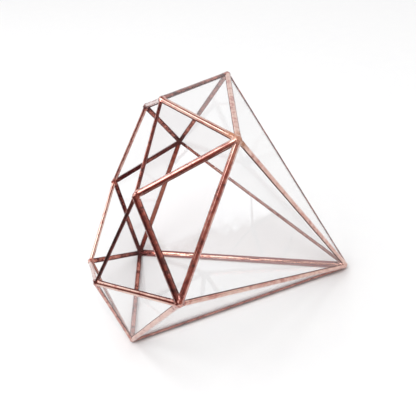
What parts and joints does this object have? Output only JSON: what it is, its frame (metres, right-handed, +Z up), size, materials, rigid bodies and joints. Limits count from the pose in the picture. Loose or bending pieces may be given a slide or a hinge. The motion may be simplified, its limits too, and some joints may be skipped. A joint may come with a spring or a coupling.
{
  "type": "geometric glass terrarium",
  "caption": "Empty faceted glass terrarium shaped like a cut gem, with copper-finished solder seams and an open hexagonal mouth, lying on its side.",
  "frame": {"origin": "on the surface that the jar lies on, under the middle of its bounding box", "axes": "+Z up; the jar's own axis lies in the XZ plane, its point at +X on the surface and its mouth facing -X and up; Y runs along the girdle seam that the jar lies on"},
  "size_m": [0.1978, 0.2056, 0.1608],
  "materials": {
    "glass": "clear float glass, polished",
    "copper_solder": "hand-laid solder bead with a mottled copper patina"
  },
  "bodies": {
    "root": {"long_pane_1": "glass", "long_pane_2": "glass", "long_pane_3": "glass", "long_pane_4": "glass", "long_pane_5": "glass", "long_pane_6": "glass", "shoulder_pane_1": "glass", "shoulder_pane_2": "glass", "shoulder_pane_3": "glass", "shoulder_pane_4": "glass", "shoulder_pane_5": "glass", "shoulder_pane_6": "glass", "rim_pane_1": "glass", "rim_pane_2": "glass", "rim_pane_3": "glass", "rim_pane_4": "glass", "rim_pane_5": "glass", "rim_pane_6": "glass", "long_seam_1": "copper_solder", "long_seam_2": "copper_solder", "long_seam_3": "copper_solder", "long_seam_4": "copper_solder", "long_seam_5": "copper_solder", "long_seam_6": "copper_solder", "girdle_seam_1": "copper_solder", "girdle_seam_2": "copper_solder", "girdle_seam_3": "copper_solder", "girdle_seam_4": "copper_solder", "girdle_seam_5": "copper_solder", "girdle_seam_6": "copper_solder", "collar_seam_1": "copper_solder", "collar_seam_2": "copper_solder", "collar_seam_3": "copper_solder", "collar_seam_4": "copper_solder", "collar_seam_5": "copper_solder", "collar_seam_6": "copper_solder", "collar_seam_7": "copper_solder", "collar_seam_8": "copper_solder", "collar_seam_9": "copper_solder", "collar_seam_10": "copper_solder", "collar_seam_11": "copper_solder", "collar_seam_12": "copper_solder", "mouth_seam_1": "copper_solder", "mouth_seam_2": "copper_solder", "mouth_seam_3": "copper_solder", "mouth_seam_4": "copper_solder", "mouth_seam_5": "copper_solder", "mouth_seam_6": "copper_solder", "point_joint": "copper_solder"}
  },
  "joints": []
}
